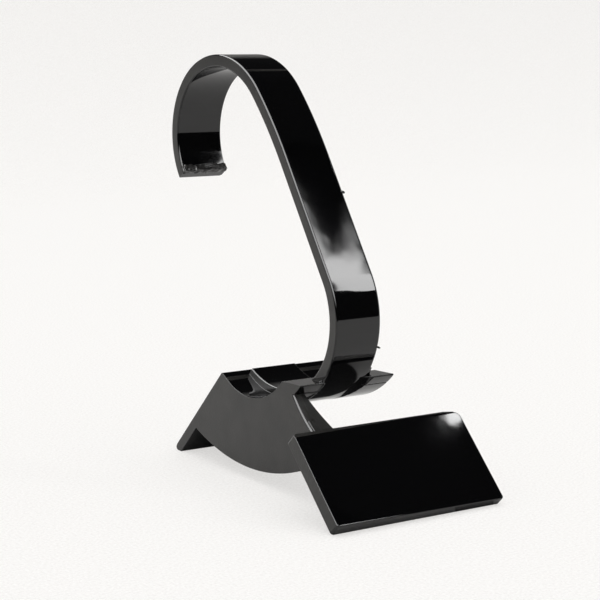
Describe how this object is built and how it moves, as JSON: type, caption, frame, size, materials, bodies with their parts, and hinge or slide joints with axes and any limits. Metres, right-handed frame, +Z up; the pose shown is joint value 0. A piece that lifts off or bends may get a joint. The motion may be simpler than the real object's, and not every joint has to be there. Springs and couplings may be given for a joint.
{
  "type": "watch stand",
  "caption": "One-piece plastic stand: a bent ribbon with a hooked top carries a watch by its strap, above a trough-shaped base with a sloping label plate in front.",
  "frame": {"origin": "middle of the bounding box's bottom face, on the surface the stand rests on", "axes": "+X to the right seen from the front, +Y from the label plate towards the back panel and the hook's tip, +Z up"},
  "size_m": [0.048, 0.098, 0.1],
  "materials": {
    "black_plastic": "high gloss, smooth on the wide faces and duller on the moulded edges"
  },
  "bodies": {
    "root": {"stand": "black_plastic"}
  },
  "joints": []
}
